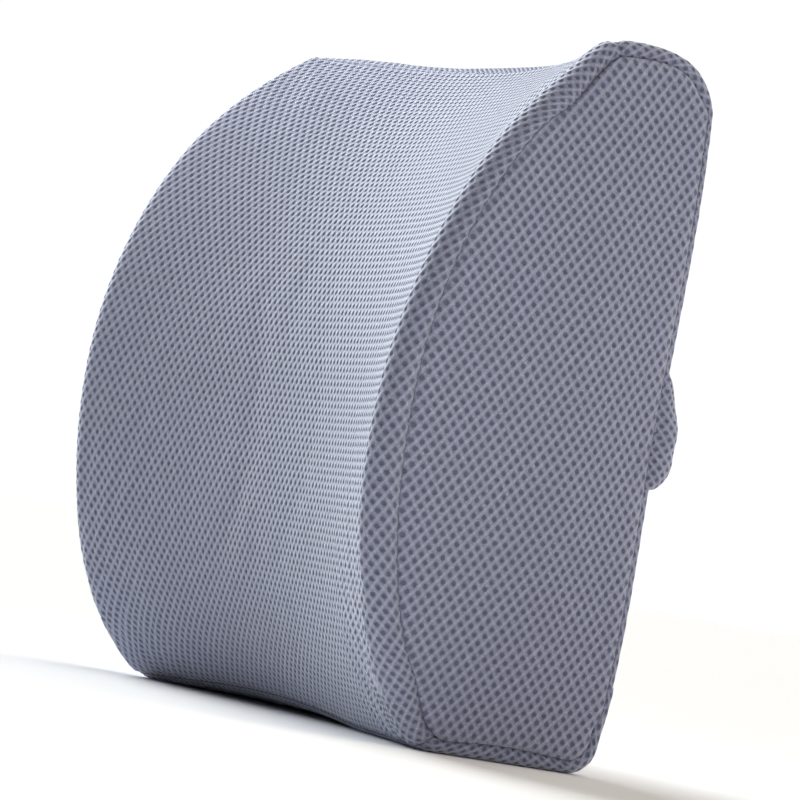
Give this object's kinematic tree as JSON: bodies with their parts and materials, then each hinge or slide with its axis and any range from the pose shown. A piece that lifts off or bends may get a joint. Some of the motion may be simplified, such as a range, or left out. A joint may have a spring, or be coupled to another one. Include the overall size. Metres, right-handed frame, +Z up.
{
  "type": "lumbar support cushion",
  "caption": "Curved memory foam backrest cushion in a zipped mesh cover, with a buckled elastic strap that holds it on a chair",
  "frame": {"origin": "on the underside, under the middle of the flat of the base, where the cushion rests", "axes": "+Z up; the front that meets the user's back faces -Y; +X is to the right of someone looking at that front"},
  "size_m": [0.34, 0.1516, 0.316],
  "materials": {
    "mesh": "blue-grey polyester spacer mesh with rows of small holes",
    "thread": "polyester sewing thread, a shade darker than the mesh",
    "foam": "slow-recovery polyurethane foam, off-white",
    "liner": "thin knitted liner, white",
    "zip_tape": "woven zip tape, grey",
    "zip_teeth": "nylon coil, grey",
    "zip_metal": "lacquered zinc casting, gunmetal",
    "webbing": "woven elastic webbing, charcoal",
    "buckle": "moulded acetal, black, fine texture"
  },
  "bodies": {
    "cushion": {"foam_core": "foam", "inner_liner": "liner", "front_panel": "mesh", "side_panel_left": "mesh", "side_panel_right": "mesh", "back_panel_upper": "mesh", "back_panel_lower": "mesh", "side_seam_left": "thread", "side_seam_right": "thread", "top_seam": "thread", "base_seam": "thread", "zip_tape_upper": "zip_tape", "zip_tape_lower": "zip_tape", "zip_teeth_upper": "zip_teeth", "zip_teeth_lower": "zip_teeth", "zip_stop_left": "zip_metal", "zip_stop_right": "zip_metal"},
    "slider": {"zip_slider": "zip_metal"},
    "pull": {"zip_pull": "zip_metal"},
    "left_strap": {"strap_ear_left": "mesh", "strap_webbing_left": "webbing", "buckle_socket": "buckle"},
    "adjuster": {"strap_adjuster": "buckle"},
    "right_strap": {"strap_ear_right": "mesh", "strap_webbing_right": "webbing"},
    "plug": {"buckle_plug": "buckle"},
    "upper_arm": {"buckle_arm_upper": "buckle"},
    "lower_arm": {"buckle_arm_lower": "buckle"}
  },
  "joints": [
    {"name": "zip_slide", "type": "slide", "parent": "cushion", "child": "slider", "axis": [-1, 0, 0], "range_m": [0, 0.264]},
    {"name": "zip_pull_swing", "type": "hinge", "parent": "slider", "child": "pull", "pos_m": [0.132, 0.0499, 0.04], "axis": [0, 0, -1], "range_deg": [0, 180]},
    {"name": "left_strap_swing", "type": "hinge", "parent": "cushion", "child": "left_strap", "pos_m": [-0.159, 0.0478, 0.1525], "axis": [0, 0, 1], "range_deg": [0, 120]},
    {"name": "right_strap_swing", "type": "hinge", "parent": "cushion", "child": "right_strap", "pos_m": [0.159, 0.0478, 0.1525], "axis": [0, 0, -1], "range_deg": [0, 120]},
    {"name": "adjuster_slide", "type": "slide", "parent": "left_strap", "child": "adjuster", "axis": [-1, 0, 0], "range_m": [0, 0.03]},
    {"name": "plug_slide", "type": "slide", "parent": "right_strap", "child": "plug", "axis": [-1, 0, 0], "range_m": [0, 0.032], "stiffness_N_per_m": 60, "deforming": ["strap_webbing_right", "buckle_arm_upper", "buckle_arm_lower"]},
    {"name": "upper_arm_flex", "type": "hinge", "parent": "plug", "child": "upper_arm", "pos_m": [0.0283, 0.0515, 0.1624], "axis": [0, -1, 0], "range_deg": [0, 8], "stiffness_Nm_per_rad": 0.5},
    {"name": "lower_arm_flex", "type": "hinge", "parent": "plug", "child": "lower_arm", "pos_m": [0.0283, 0.0515, 0.1426], "axis": [0, 1, 0], "range_deg": [0, 8], "stiffness_Nm_per_rad": 0.5}
  ]
}
